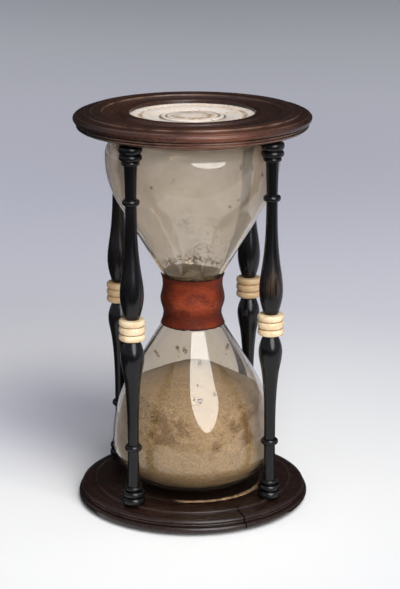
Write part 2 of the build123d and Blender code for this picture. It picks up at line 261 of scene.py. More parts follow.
lip_inner, lip_outer = plate_lip_radii
land_inner, land_outer = plate_land_radii
torus_low, torus_middle, torus_high = torus_heights
ovolo_low, ovolo_high = ovolo_heights
ovolo_outer, ovolo_inner = ovolo_radii
torus = arc_between((land_outer, torus_low), (plate_radius, torus_low), (plate_radius, torus_middle), 22)
plate_section = [
    (plate_opening, plate_rabbet_height),
    *arc_between((plate_opening, plate_lip_round), (plate_opening, 0.0), (lip_inner, 0.0)),
    *arc_between((lip_inner, 0.0), (lip_outer, 0.0), (lip_outer, plate_lip_round)),
    *arc_between((lip_outer, plate_lip_round), plate_cove_corner, (land_inner, plate_land_edge), 14),
    (land_inner, 0.0),
    (land_outer, 0.0),
    *[point for point in torus if point[1] < torus_groove_edges[0]],
    torus_groove,
    *[point for point in torus if point[1] > torus_groove_edges[1]],
    *arc_between((plate_radius, torus_middle), (plate_radius, torus_high), (torus_top_radius, torus_high)),
    (rim_neck_radius, torus_high),
    *bead(*rim_bead_heights, rim_neck_radius, rim_bead_crest),
    (rim_neck_radius, ovolo_low),
    (ovolo_outer, ovolo_low),
    *arc_between((ovolo_outer, ovolo_low), (ovolo_outer, ovolo_high), (ovolo_inner, ovolo_high), 12),
    *arc_between((ovolo_inner, ovolo_high), (step_cove_radius, ovolo_high),
                 (plate_step_radius, step_cove_height)),
    (plate_step_radius, plate_thickness),
    (plate_rabbet, plate_thickness),
    (plate_rabbet, plate_rabbet_height),
    (plate_opening, plate_rabbet_height),
]
bottom_plate = turn_on_lathe("bottom_plate_turning", plate_section, lathe_steps)
work_over(bottom_plate, "BEVEL", width=plate_arris_wear, segments=2, limit_method="ANGLE")
top_plate = copy_of(bottom_plate, "top_plate_turning", (0, 0, total_height), (math.pi, 0, 0))

bpy.ops.object.select_all(action="DESELECT")
crack_length = plate_radius + crack_overshoot - crack_inner_radius
bpy.ops.mesh.primitive_cube_add(size=1)
crack = bpy.context.object
crack.scale = (crack_length, crack_width, plate_thickness + crack_overshoot)
crack.location = (crack_inner_radius + crack_length / 2, 0, plate_thickness / 2 + crack_lift)
bpy.ops.object.transform_apply(location=True, scale=True)
bpy.ops.object.mode_set(mode="EDIT")
bpy.ops.mesh.subdivide(number_cuts=7)
bpy.ops.object.mode_set(mode="OBJECT")
for corner in crack.data.vertices:
    along = (corner.co.x - crack_inner_radius) / crack_length
    widening = crack_tip_share + (1 - crack_tip_share) * along
    corner.co.y = corner.co.y * widening + crack_wander * math.sin(crack_bends * along)
crack.rotation_euler.z = crack_angle
bpy.ops.object.transform_apply(rotation=True)
work_over(bottom_plate, "BOOLEAN", object=crack, operation="DIFFERENCE", solver="EXACT")
bpy.data.objects.remove(crack)


def plate_finish(name, dirt, front_highlight_tone, gloss, dullness):
    """Waxed dark hardwood with fine streaks, the tool's rings, rubbed arrises that are also a painted glint,
    and this share of dirt, with a painted highlight on the front of the rim, painted shade on its sides, a
    darker patch inside on the right and painted shadow along the crack.
    """
    material, tree, shader, where = start_finish(name)
    place = lay(tree, "SeparateXYZ", {"Vector": where})
    height = place["Z"]
    radius = from_axis(tree, place)
    streaks = noise(tree, where, 1100, 5, (0.03, 1, 1), 0.6, 0.4)
    patches = noise(tree, where, 60, 3)
    along_rings = lay(tree, "CombineXYZ", {"X": radius, "Y": height})[0]
    tool_lines = noise(tree, along_rings, 1800, 3)
    pores = band(tree, noise(tree, where, 3000, 2, (0.04, 1, 1)), 0.57, 0.68)
    heart = blend(
        tree, band(tree, streaks, 0.35, 0.65), (0.024, 0.0095, 0.0055, 1), (0.046, 0.0170, 0.0090, 1)
    )
    heart = blend(tree, band(tree, tool_lines, 0.4, 0.7, 0.0, 0.5), heart, (0.066, 0.020, 0.0100, 1))
    heart = blend(tree, band(tree, patches, 0.45, 0.75, 0.0, 0.45), heart, (0.016, 0.0085, 0.0068, 1))
    heart = blend(tree, times(tree, pores, 0.5), heart, (0.009, 0.0050, 0.0040, 1))
    # Painted highlight: a lighter tone on the front of the rim, broken up by the wood's patches.
    wear_and_highlight = times(
        tree, band(tree, radius, *front_highlight_radii, 0.25, 1.0), band(tree, place["Y"], *front_highlight_y)
    )
    wear_and_highlight = times(tree, wear_and_highlight, near(tree, place["X"], *front_highlight_around_x))
    wear_and_highlight = times(tree, wear_and_highlight, band(tree, patches, 0.66, 0.38, 0.45, 1.0))
    heart = blend(tree, wear_and_highlight, heart, front_highlight_tone)
    # The arrises are painted pale: rubbed wear, and a painted glint where their rounded edges catch light.
    arrises = near(tree, radius, land_inner, plate_arris_reach)
    for arris in (land_outer, plate_step_radius, ovolo_outer):
        arrises = larger(tree, arrises, near(tree, radius, arris, plate_arris_reach))
    rubbed_and_glint = times(tree, arrises, band(tree, noise(tree, where, 90, 3), 0.30, 0.60))
    heart = blend(tree, times(tree, rubbed_and_glint, 0.85), heart, (0.19, 0.112, 0.075, 1))
    # Darker: dirt in random patches, painted shade on the left and right sides of the plate, and a darker
    # patch inside on the right.
    dirt_and_shade = band(tree, patches, 0.2, 0.8, dirt - 0.1, dirt + 0.1)
    off_middle = lay(tree, "Math", {0: place["X"]}, operation="ABSOLUTE")[0]
    dirt_and_shade = larger(tree, dirt_and_shade, times(tree, band(tree, off_middle, *shaded_plate_sides), 0.70))
    # Darker inside the land towards the right.
    darker_inner_right = times(
        tree, band(tree, radius, *darker_inner_radii), band(tree, place["X"], *darker_right_side, 0.0, 0.55)
    )
    dirt_and_shade = larger(tree, dirt_and_shade, darker_inner_right)
    heart = blend(tree, dirt_and_shade, heart, (0.010, 0.0046, 0.0032, 1))
    # Painted shadow along the crack's line, near black.
    turned = lay(tree, "Mapping", {"Vector": where, "Rotation": (0, 0, -crack_angle)})["Vector"]
    at_crack = lay(tree, "SeparateXYZ", {"Vector": turned})
    crack_shade = near(tree, at_crack["Y"], 0.0, crack_shade_width)
    crack_shade = times(tree, crack_shade, band(tree, at_crack["X"], *crack_shade_radii))
    crack_shade = times(tree, crack_shade, band(tree, height, *crack_shade_heights))
    heart = blend(tree, crack_shade, heart, (0.0025, 0.0016, 0.0013, 1))
    dulled = band(tree, streaks, 0.3, 0.7, dullness, dullness + 0.1)
    feed(tree, shader, {"Base Color": heart, "Roughness": dulled, "Specular IOR Level": gloss})
    rough_up(tree, shader, larger(tree, tool_lines, pores), 0.00005)
    return material


top_wood = plate_finish("plate_wood_waxed", 0.1, (0.140, 0.044, 0.021, 1), 0.42, 0.24)
bottom_wood = plate_finish("plate_wood_dirty", 0.82, (0.050, 0.021, 0.013, 1), 0.38, 0.24)
for plate, node, wood in ((bottom_plate, "bottom_plate", bottom_wood), (top_plate, "top_plate", top_wood)):
    smooth(plate)
    dress(plate, node, wood)


# Bone dishes: turned from bone and let into both plates from inside, with rings on the sunk outer face.
# The hollow side takes the bulb's end. Dirt and old wax have browned the rings, and the rim is chipped.
dish_radius = 0.0354
dish_face_radius = 0.0293
dish_edge_height = 0.0021
dish_bed_height = 0.0030
dish_boss_height = 0.0026
dish_dimple_height = 0.0023
dish_dimple_radius = 0.0088
dish_rim_height = 0.00965
dish_rim_inner = 0.0321
dish_floor_height = 0.0069
dish_floor_radius = 0.027
dish_rings = ((0.0118, 0.0128, 0.0032), (0.0146, 0.0156, 0.0036))
dish_ring_bead = (0.0137, 0.0020)
dish_band_groove = (0.0234, 0.0254)
dish_band_bottom = 0.0033
dish_face_crown = 0.0017
dish_ring_slant = 0.0002
dish_rim_round = 0.0006
dish_rim_round_width = 0.0008
dish_rim_cuts = (0.0338, 0.0329)
dish_hollow_corner = (0.0300, 0.0071)
dish_arris_wear = 0.00010
rim_chips = 0.0007
rim_chip_size = 0.0035
rim_chip_depth = 0.0008
rim_chip_reach = 0.0012
ring_dirt_reach = 0.0009
band_dirt_reach = 0.0017
dirt_around_radius = (0.0082, 0.0036)
spotted_side = (-0.012, 0.010)
lower_dish_heights = (0.1, 0.05)
inner_face_heights = (0.0045, 0.0055)
below_rim_heights = (0.0093, 0.0087)
inside_rim_radii = (0.0333, 0.0327)
dish_shade_left = (-0.006, -0.014)
dish_shade_behind = (-0.020, -0.012)

(inner_low, inner_high, inner_deep), (outer_low, outer_high, outer_deep) = dish_rings
band_middle = sum(dish_band_groove) / 2
face_middle = (dish_band_groove[1] + dish_face_radius) / 2
dish_section = [
    *arc_between((0, dish_dimple_height), (dish_dimple_radius / 2, dish_dimple_height),
                 (dish_dimple_radius, dish_boss_height), 10),
    (inner_low, dish_boss_height),
    (inner_low + dish_ring_slant, inner_deep),
    (inner_high - dish_ring_slant, inner_deep),
    *arc_between((inner_high, dish_boss_height), dish_ring_bead, (outer_low, dish_boss_height), 9),
    (outer_low + dish_ring_slant, outer_deep),
    (outer_high - dish_ring_slant, outer_deep),
    (outer_high, dish_bed_height),
    *arc_between((dish_band_groove[0], dish_edge_height), (band_middle, dish_band_bottom),
                 (dish_band_groove[1], dish_edge_height), 11),
    *arc_between((dish_band_groove[1], dish_edge_height), (face_middle, dish_face_crown),
                 (dish_face_radius, dish_edge_height), 11),
    (dish_face_radius, plate_rabbet_height),
    (dish_radius, plate_rabbet_height),
    (dish_radius, dish_rim_height - dish_rim_round),
    *arc_between((dish_radius, dish_rim_height - dish_rim_round), (dish_radius, dish_rim_height),
                 (dish_radius - dish_rim_round_width, dish_rim_height), 5),
    *[(cut, dish_rim_height) for cut in dish_rim_cuts],
    (dish_rim_inner, dish_rim_height),
    *arc_between((dish_rim_inner, dish_rim_height), dish_hollow_corner,
                 (dish_floor_radius, dish_floor_height)),
    (0, dish_floor_height),
]
bottom_dish = turn_on_lathe("bottom_dish_turning", dish_section, 2 * lathe_steps)
work_over(bottom_dish, "BEVEL", width=dish_arris_wear, segments=2, limit_method="ANGLE")
top_dish = copy_of(bottom_dish, "top_dish_turning", (0, 0, total_height), (math.pi, 0, 0))
rim_group = bottom_dish.vertex_groups.new(name="rim")
for point in bottom_dish.data.vertices:
    high = point.co.z > dish_rim_height - rim_chip_depth
    outside = point.co.xy.length > dish_rim_inner - rim_chip_reach
    rim_group.add([point.index], 1.0 if high and outside else 0.0, "REPLACE")
push(bottom_dish, "Z", rim_chip_size, rim_chips, mid_level=0.9, vertex_group="rim")

dish_bone, tree, shader, where = start_finish("dish_bone")
place = lay(tree, "SeparateXYZ", {"Vector": where})
height = place["Z"]
radius = from_axis(tree, place)
clouds = noise(tree, where, 110, 5, distortion=0.8)
fine = noise(tree, where, 900, 3)
blots = noise(tree, where, 330, 5, roughness=0.65, distortion=0.5)
ring_dirt = near(tree, radius, (inner_low + inner_high) / 2, ring_dirt_reach)
ring_dirt = larger(tree, ring_dirt, near(tree, radius, (outer_low + outer_high) / 2, ring_dirt_reach))
band_dirt = times(tree, near(tree, radius, band_middle, band_dirt_reach), band(tree, blots, 0.30, 0.56))
middle = times(tree, near(tree, radius, *dirt_around_radius), band(tree, blots, 0.38, 0.58))
spots = times(tree, band(tree, noise(tree, where, 420, 4), 0.60, 0.66), band(tree, place["X"], *spotted_side))
bone = blend(tree, band(tree, clouds, 0.35, 0.7), (0.92, 0.83, 0.74, 1), (0.84, 0.70, 0.57, 1))
bone = blend(tree, times(tree, middle, 0.9), bone, (0.38, 0.23, 0.105, 1))
bone = blend(tree, times(tree, band_dirt, 0.9), bone, (0.33, 0.185, 0.080, 1))
bone = blend(tree, times(tree, spots, 0.75), bone, (0.18, 0.100, 0.055, 1))
bone = blend(tree, times(tree, ring_dirt, 0.9), bone, (0.045, 0.028, 0.018, 1))
inside = times(tree, band(tree, height, *lower_dish_heights), band(tree, height, *inner_face_heights))
stain = blend(tree, band(tree, blots, 0.40, 0.56), (0.42, 0.31, 0.185, 1), (0.20, 0.105, 0.050, 1))
bone = blend(tree, inside, bone, stain)
# Painted shade: the lower dish's hollow is painted almost black, and so is its rim except at the front and
# right.
dish_shade = larger(tree, band(tree, height, *below_rim_heights), band(tree, radius, *inside_rim_radii))
dish_shade = larger(tree, dish_shade, band(tree, place["X"], *dish_shade_left))
dish_shade = larger(tree, dish_shade, band(tree, place["Y"], *dish_shade_behind))
hollow_shade = times(tree, inside, dish_shade)
bone = blend(tree, hollow_shade, bone, (0.012, 0.0055, 0.0025, 1))
dulled = band(tree, clouds, 0.3, 0.7, 0.28, 0.42)
feed(tree, shader, {"Base Color": bone, "Roughness": dulled})
feed(tree, shader, {"Subsurface Weight": 0.06, "Subsurface Radius": (0.0012, 0.0008, 0.0005)})
rough_up(tree, shader, fine, 0.00004)

for dish, node in ((bottom_dish, "bottom_bone_dish"), (top_dish, "top_bone_dish")):
    smooth(dish)
    dress(dish, node, dish_bone)


# Seat pads: thin discs of brown leather between each bulb's end and its dish, out of sight.
# They stay as the solid model has them.
pad_leather, tree, shader, where = start_finish("pad_leather_brown")
hide = noise(tree, where, 900, 5)
tone = blend(tree, hide, (0.05, 0.028, 0.016, 1), (0.12, 0.065, 0.035, 1))
feed(tree, shader, {"Base Color": tone, "Roughness": 0.75})
rough_up(tree, shader, hide, 0.0001)
for node in ("bottom_seat_pad", "top_seat_pad"):
    nodes[node].data.materials[0] = pad_leather


# Bulbs: two free-blown flasks of smoky soda glass, mouth to mouth, each ground to a flange.
# Their walls wander a little, and dust, dirt and old damp have left films and specks inside.
mouth_radius = 0.0075
glass_wall = 0.0016
flange_radius = 0.0105
flange_height = 0.0018
crown_round = 0.020
crown_flat = 0.011
neck_height = 0.09975
half_disc = 0.0003
glass_wander = 0.0009
glass_waves = (("X", 0.055), ("Y", 0.043))
lathe_steps_glass = 144
filmed_heights = (0.110, 0.135)
smoked_side = (0.008, 0.042)
threads_around_height = (0.1315, 0.0080)
threads_around_x = (0.0050, 0.0170)
tide_around_height = (0.1150, 0.0022)
tide_behind = (-0.002, 0.002)
crusts_in_front = (0.004, -0.002)
crust_fade_heights = (0.105, 0.125)
glass_specks = (
    (-0.0092, 0.0798, 0.0010),
    (-0.0061, 0.0792, 0.0013),
    (0.0004, 0.0743, 0.0012),
    (-0.0008, 0.0587, 0.0014),
    (0.0063, 0.0612, 0.0009),
    (0.0145, 0.0784, 0.0012),
    (-0.0182, 0.0757, 0.0009),
    (-0.0227, 0.1612, 0.0008),
    (0.0160, 0.1549, 0.0008),
    (0.0124, 0.1519, 0.0010),
    (0.0278, 0.1649, 0.0012),
    (0.0185, 0.1712, 0.0008),
)
upper_bulb_shape = {
    "up": 1,
    "mouth": neck_height + half_disc,
    "length": 0.1822 - neck_height - half_disc,
    "side": 0.0409,
    "cone": math.radians(30.5),
    "shoulder": 0.042,
    "end_round": 0.009,
    "slope": math.radians(9),
}
lower_bulb_shape = {
    "up": -1,
    "mouth": neck_height - half_disc,
    "length": neck_height - half_disc - 0.0078,
    "side": 0.03865,
    "cone": math.radians(31.5),
    "shoulder": 0.066,
    "end_round": 0.0185,
    "slope": math.radians(12),
}


def bulb_line(shape, inset):
    """Points along a bulb's wall from its mouth to its closed end, moved inwards by inset."""
    mouth = mouth_radius - inset / math.cos(shape["cone"])
    side = shape["side"] - inset
    end = shape["length"] - inset
    flat = crown_flat - inset * math.tan(shape["slope"] / 2)
    shoulder_height = (side - mouth) / math.tan(shape["cone"])
    end_height = end - (side - flat) * math.tan(shape["slope"])
    shoulder_reach = (shape["shoulder"] - inset) * math.tan(shape["cone"] / 2)
    end_reach = (shape["end_round"] - inset) * math.tan((math.pi / 2 - shape["slope"]) / 2)
    crown_reach = (crown_round - inset) * math.tan(shape["slope"] / 2)
    out = Vector((math.sin(shape["cone"]), math.cos(shape["cone"])))
    back = Vector((-math.cos(shape["slope"]), math.sin(shape["slope"])))
    shoulder = Vector((side, shoulder_height))
    corner = Vector((side, end_height))
    crown = Vector((flat, end))
    rise = Vector((0, 1))
    wall = [Vector((mouth, 0)).lerp(shoulder - out * shoulder_reach, part / 12) for part in range(13)]
    wall += arc_between(shoulder - out * shoulder_reach, shoulder, shoulder + rise * shoulder_reach, 28)
    wall += arc_between(corner - rise * end_reach, corner, corner + back * end_reach, 20)
    wall += arc_between(crown - back * crown_reach, crown, crown - Vector((crown_reach, 0)), 8)
    wall += [Vector((0, end))]
    return [(radius, shape["mouth"] + shape["up"] * height) for radius, height in wall]


def wander(piece):
    """Push a piece a little off round, by the same slow waves for the glass and what lies in it."""
    for axis, size in glass_waves:
        push(piece, axis, size, glass_wander)


def blow(name, shape):
    """Make one bulb: both sides of its wall, and the flange round its mouth."""
    lip = shape["mouth"] + shape["up"] * flange_height
    outer = bulb_line(shape, 0)
    inner = bulb_line(shape, glass_wall)
    flange_root = mouth_radius + flange_height * math.tan(shape["cone"])
    wall = [(radius, height) for radius, height in outer if radius > flange_root]
    section = [inner[0], (flange_radius, shape["mouth"]), (flange_radius, lip), (flange_root, lip)]
    bulb = turn_on_lathe(name, section + wall + inner[::-1], lathe_steps_glass)
    wander(bulb)
    return bulb


def away_from(tree, where, spot):
    """The distance from a spot."""
    return lay(tree, "VectorMath", {0: where, 1: spot}, operation="DISTANCE")["Value"]


upper_bulb = blow("upper_bulb_glass", upper_bulb_shape)
lower_bulb = blow("lower_bulb_glass", lower_bulb_shape)

bulb_glass, tree, shader, where = start_finish("bulb_glass_smoky")
place = lay(tree, "SeparateXYZ", {"Vector": where})
height = place["Z"]
upper = band(tree, height, *filmed_heights)
film = times(tree, upper, band(tree, noise(tree, where, 38, 5, distortion=0.5), 0.30, 0.75, 0.30, 1.0))
smoke = times(tree, upper, band(tree, place["X"], *smoked_side))
above_neck = near(tree, height, *threads_around_height)
above_neck = times(tree, above_neck, near(tree, place["X"], *threads_around_x))
creep = noise(tree, where, 170, 5, (1, 1, 1.3), 0.6, 0.6)
threads = times(tree, near(tree, creep, 0.5, 0.022), band(tree, noise(tree, where, 90, 2), 0.44, 0.54))
threads = times(tree, threads, above_neck)
clumps = band(tree, noise(tree, where, 520, 5, (1, 1, 1.6), 0.65, 0.5), 0.54, 0.58)
clumps = times(tree, clumps, band(tree, place["Y"], *tide_behind))
tide = times(tree, near(tree, height, *tide_around_height), clumps)
motes = lay(tree, "TexVoronoi", {"Vector": where, "Scale": 230.0, "Randomness": 1.0})["Distance"]
motes = times(tree, band(tree, motes, 0.12, 0.08), band(tree, noise(tree, where, 70, 2), 0.52, 0.60))
flat = lay(tree, "CombineXYZ", {"X": place["X"], "Z": height})[0]
crusts = motes
for east, up, reach in glass_specks:
    away = away_from(tree, flat, (east, 0, up))
    crusts = larger(tree, crusts, band(tree, away, reach, 0.3 * reach))
crusts = times(tree, crusts, band(tree, noise(tree, where, 1500, 4, (1, 1, 1.2), 0.6, 0.8), 0.44, 0.54))
crusts = times(tree, crusts, band(tree, place["Y"], *crusts_in_front))
crusts = times(tree, crusts, band(tree, height, *crust_fade_heights, 0.85, 0.42))
dirt = larger(tree, times(tree, threads, 0.48), larger(tree, crusts, tide))
tint = blend(tree, film, (0.89, 0.820, 0.710, 1), (0.72, 0.635, 0.520, 1))
tint = blend(tree, times(tree, smoke, 0.75), tint, (0.54, 0.43, 0.31, 1))
tint = blend(tree, band(tree, dirt, 0.0, 0.25), tint, (0.085, 0.046, 0.018, 1))
clear = lay(tree, "Math", {0: band(tree, film, 0, 1, 0.99, 0.82), 1: times(tree, dirt, 0.80)},
            operation="SUBTRACT")[0]
feed(tree, shader, {"Base Color": tint, "Transmission Weight": clear, "Roughness": 0.03, "IOR": 1.5})
lamp_pass = lay(tree, "BsdfTransparent", {"Color": (0.90, 0.87, 0.80, 1)})[0]
lamp_ray = lay(tree, "LightPath", {})["Is Shadow Ray"]
pane = lay(tree, "MixShader", {0: lamp_ray, 1: shader.outputs[0], 2: lamp_pass})[0]
feed(tree, tree.nodes["Material Output"], {"Surface": pane})

for bulb, node in ((upper_bulb, "upper_bulb"), (lower_bulb, "lower_bulb")):
    smooth(bulb, 50)
    dress(bulb, node, bulb_glass)


# Sand: fine tan sand with dark grains, nearly all run down into a soft heap in the lower bulb.
# What is left above lies level over the neck. Damp has stained the heap where it meets the glass.
sand_gap = 0.0001
heap_apex = 0.0680
heap_slope = math.radians(29)
heap_crown = 0.017
heap_stretch = 1.3
heap_tilt = math.radians(4.5)
heap_shift = -0.0022
heap_foot = 0.056
heap_waves = (0.016, 0.0012)
heap_parts = 30
heap_air_top = 0.12
residue_height = 0.1126
residue_reach = 0.0226
residue_rise = 0.0016
residue_tilt = 0.02
residue_waves = (0.004, 0.0016)
residue_parts = 24
residue_air_radius = 0.05
residue_air_heights = (0.135, 0.20)
lathe_steps_air = 96
grains_per_metre = 1950.0
clear_grain_heights = (0.062, 0.046)
damp_foot_heights = (0.028, 0.036)
damp_top_heights = (0.060, 0.048)
pale_heights = (0.054, 0.044)
shaded_top_heights = (0.0595, 0.0680)
brown_foot_heights = (0.0250, 0.0150)
neck_heights = (0.098, 0.103)
damp_patches = (
    (-0.0175, 0.0440, 0.0125),
    (0.0240, 0.0430, 0.0135),
    (0.0060, 0.0385, 0.0060),
)


def pour(name, shape, air_section, waves, depth, tilt, stretch=1.0, shift=0.0):
    """Fill a bulb with sand, and cut away an uneven body of air above it."""
    lump_section = [(0, shape["mouth"]), *bulb_line(shape, glass_wall + sand_gap)]
    lump = turn_on_lathe(name, lump_section, lathe_steps_glass)
    wander(lump)
    air = turn_on_lathe(f"{name}_air", air_section, lathe_steps_air)
    push(air, "Z", waves, depth)
    air.scale.x = stretch
    air.location.x = shift
    air.rotation_euler.y = tilt
    bpy.ops.object.transform_apply(location=True, rotation=True, scale=True)
    work_over(lump, "BOOLEAN", object=air, operation="DIFFERENCE", solver="EXACT")
    bpy.data.objects.remove(air)
    return lump


crown_edge = heap_crown * math.sin(heap_slope)
crown_fall = heap_crown * (1 - math.cos(heap_slope))
heap_line = arc_between((0, heap_apex), (heap_crown * math.tan(heap_slope / 2), heap_apex),
                        (crown_edge, heap_apex - crown_fall), 10)
for part in range(1, heap_parts + 1):
    reach = crown_edge + (heap_foot - crown_edge) * part / heap_parts
    heap_line.append((reach, heap_apex - crown_fall - (reach - crown_edge) * math.tan(heap_slope)))
heap_air = [*heap_line, (heap_foot, heap_air_top), (0, heap_air_top)]
lower_sand = pour(
    "lower_sand_heap", lower_bulb_shape, heap_air, *heap_waves, heap_tilt, heap_stretch, heap_shift
)

residue_line = []
for part in range(residue_parts + 1):
    rise = residue_rise * (part / residue_parts) ** 2
    residue_line.append((residue_reach * part / residue_parts, residue_height + rise))
air_low, air_high = residue_air_heights
residue_air = [*residue_line, (residue_air_radius, air_low), (residue_air_radius, air_high), (0, air_high)]
upper_sand = pour("upper_sand_residue", upper_bulb_shape, residue_air, *residue_waves, residue_tilt)

hour_sand, tree, shader, where = start_finish("hour_sand")
place = lay(tree, "SeparateXYZ", {"Vector": where})
height = place["Z"]
grains = lay(tree, "TexVoronoi", {"Vector": where, "Scale": grains_per_metre})
grain_tone = lay(tree, "SeparateColor", {"Color": grains["Color"]})[0]
drift = noise(tree, where, 75, 4)
contrast = band(tree, height, *clear_grain_heights, 0.45, 1.0)
damp_zone = times(tree, band(tree, height, *damp_foot_heights), band(tree, height, *damp_top_heights))
flat = lay(tree, "CombineXYZ", {"X": place["X"], "Z": height})[0]
damp = noise(tree, where, 130, 6, (1, 1, 1.4), 0.64, 0.4)
for east, up, reach in damp_patches:
    wetter = band(tree, away_from(tree, flat, (east, 0, up)), reach, 0.3 * reach, 0.0, 0.17)
    damp = lay(tree, "Math", {0: damp, 1: wetter}, operation="ADD")[0]
damp = times(tree, band(tree, damp, 0.53, 0.69), damp_zone)
tan = blend(tree, band(tree, drift, 0.35, 0.65), (0.150, 0.102, 0.053, 1), (0.200, 0.143, 0.081, 1))
dark_share = times(tree, contrast, band(tree, grain_tone, 0.45, 0.05, 0.0, 0.72))
tan = blend(tree, dark_share, tan, (0.055, 0.033, 0.013, 1))
light_share = times(tree, contrast, band(tree, grain_tone, 0.60, 0.95, 0.0, 0.65))
tan = blend(tree, light_share, tan, (0.36, 0.280, 0.175, 1))
tan = blend(tree, band(tree, height, *pale_heights, 0.0, 0.3), tan, (0.28, 0.205, 0.120, 1))
tan = blend(tree, band(tree, height, *shaded_top_heights, 0.0, 0.5), tan, (0.060, 0.045, 0.025, 1))
tan = blend(tree, band(tree, height, *brown_foot_heights, 0.0, 0.85), tan, (0.064, 0.036, 0.009, 1))
stain = {0: damp, 6: tan, 7: (0.50, 0.40, 0.19, 1)}
tan = lay(tree, "Mix", stain, data_type="RGBA", blend_type="MULTIPLY")[2]
crumbs = band(tree, noise(tree, where, 750, 3), 0.40, 0.60)
left_above = blend(tree, crumbs, (0.024, 0.014, 0.004, 1), (0.150, 0.096, 0.034, 1))
tan = blend(tree, band(tree, height, *neck_heights), tan, left_above)
feed(tree, shader, {"Base Color": tan, "Roughness": 0.9})
rough_up(tree, shader, grains["Distance"], 0.0002, 0.2)

for heap, node in ((lower_sand, "lower_sand"), (upper_sand, "upper_sand")):
    smooth(heap, 60)
    dress(heap, node, hour_sand)


# Neck joint: a pierced brass disc between the two mouths, red wax over both flanges, and linen
# thread wound round them. The leather hides all three, so they stay as the solid model has them.
disc_brass, tree, shader, where = start_finish("disc_brass_dull")
tarnish = noise(tree, where, 500, 5)
tone = blend(tree, tarnish, (0.55, 0.36, 0.12, 1), (0.28, 0.17, 0.06, 1))
dulled = band(tree, tarnish, 0.3, 0.7, 0.3, 0.55)
feed(tree, shader, {"Base Color": tone, "Metallic": 1.0, "Roughness": dulled})
nodes["orifice_disc"].data.materials[0] = disc_brass

seal_wax, tree, shader, where = start_finish("seal_wax_red")
lumps = noise(tree, where, 320, 4)
tone = blend(tree, lumps, (0.16, 0.022, 0.014, 1), (0.26, 0.045, 0.025, 1))
feed(tree, shader, {"Base Color": tone, "Roughness": 0.45})
rough_up(tree, shader, lumps, 0.0003)
nodes["neck_wax"].data.materials[0] = seal_wax

binding_thread, tree, shader, where = start_finish("binding_thread_linen")
turns = lay(tree, "TexWave", {"Vector": where, "Scale": 380.0, "Distortion": 0.6}, bands_direction="Z")["Fac"]
tone = blend(tree, turns, (0.20, 0.145, 0.085, 1), (0.46, 0.37, 0.25, 1))
feed(tree, shader, {"Base Color": tone, "Roughness": 0.9})
rough_up(tree, shader, turns, 0.0004)
nodes["neck_thread"].data.materials[0] = binding_thread


# Neck binding: a sleeve of thin brick-red goatskin, drawn on wet over the wound joint and glued.
# It has shrunk to the joint's swelling and its cut edges have darkened. Handling has rubbed the swell, whose
# lighter patches are also a painted highlight, and the lower waist and the sides carry painted shade.
leather_thickness = 0.00035
sleeve_half_height = 0.0121
sleeve_waist_height = 0.0068
sleeve_line = [
    (0.01516, neck_height - sleeve_half_height),
    (0.01345, neck_height - sleeve_waist_height),
    (0.01495, neck_height),
    (0.01382, neck_height + sleeve_waist_height),
    (0.01492, neck_height + sleeve_half_height),
]
sleeve_slopes = (-0.58, -0.02, 0.0, 0.02, 0.56)
skived_share = 0.5
snipped_edge = 0.0016
snip_depth = 0.0010
snip_size = 0.0022
crease_margin = 0.003
crease_depth = 0.0006
crease_size = 0.009
lathe_steps_sleeve = 160
swell_foot_heights = (0.0930, 0.0985)
swell_top_heights = (0.1050, 0.0995)
waist_shade_around_height = (0.0922, 0.0048)
leather_shaded_sides = (0.0072, 0.0140)
upper_edge_heights = (0.1108, 0.1118)
lower_edge_heights = (0.0888, 0.0878)


def drawn_through(points, slopes, parts):
    """A smooth line through points of radius and height, with the radius's slope at each."""
    line = []
    for (radius, height), (next_radius, next_height), slope, next_slope in zip(
        points, points[1:], slopes, slopes[1:]
    ):
        third = (next_height - height) / 3
        knots = [
            Vector((radius, height, 0)),
            Vector((radius + slope * third, height + third, 0)),
            Vector((next_radius - next_slope * third, next_height - third, 0)),
            Vector((next_radius, next_height, 0)),
        ]
        line += [(knot.x, knot.y) for knot in interpolate_bezier(*knots, parts + 1)[:-1]]
    return line + [points[-1]]


sleeve = turn_on_lathe("neck_sleeve", drawn_through(sleeve_line, sleeve_slopes, 14), lathe_steps_sleeve)
edge_group = sleeve.vertex_groups.new(name="cut_edges")
body_group = sleeve.vertex_groups.new(name="body")
for point in sleeve.data.vertices:
    from_edge = sleeve_half_height - abs(point.co.z - neck_height)
    edge_group.add([point.index], max(0.0, 1 - from_edge / snipped_edge), "REPLACE")
    body_group.add([point.index], min(1.0, from_edge / crease_margin), "REPLACE")
push(sleeve, "NORMAL", crease_size, crease_depth, vertex_group="body")
push(sleeve, "Z", snip_size, snip_depth, vertex_group="cut_edges")
work_over(sleeve, "SOLIDIFY", thickness=leather_thickness, offset=-1, vertex_group="body",
          thickness_vertex_group=skived_share)

binding_leather, tree, shader, where = start_finish("binding_leather_red")
place = lay(tree, "SeparateXYZ", {"Vector": where})
height = place["Z"]
mottle = noise(tree, where, 95, 5, (1, 1, 1.4), 0.6, 0.4)
rub_and_highlight = noise(tree, where, 110, 5, (1, 1, 2.0), 0.65, 0.3)
grain_cells = lay(tree, "TexVoronoi", {"Vector": where, "Scale": 1300.0})
pebble = grain_cells["Distance"]
speckle = lay(tree, "SeparateColor", {"Color": grain_cells["Color"]})[0]
# Lighter patches on the swell: rubbed wear and a painted highlight.
swell = times(tree, band(tree, height, *swell_foot_heights), band(tree, height, *swell_top_heights))
hide = blend(tree, band(tree, mottle, 0.34, 0.62), (0.105, 0.0160, 0.0060, 1), (0.210, 0.0325, 0.0105, 1))
hide = blend(tree, times(tree, swell, band(tree, rub_and_highlight, 0.42, 0.62, 0.0, 0.6)), hide, (0.30, 0.058, 0.024, 1))
hide = blend(tree, band(tree, speckle, 0.30, 0.05, 0.0, 0.22), hide, (0.030, 0.0060, 0.0032, 1))
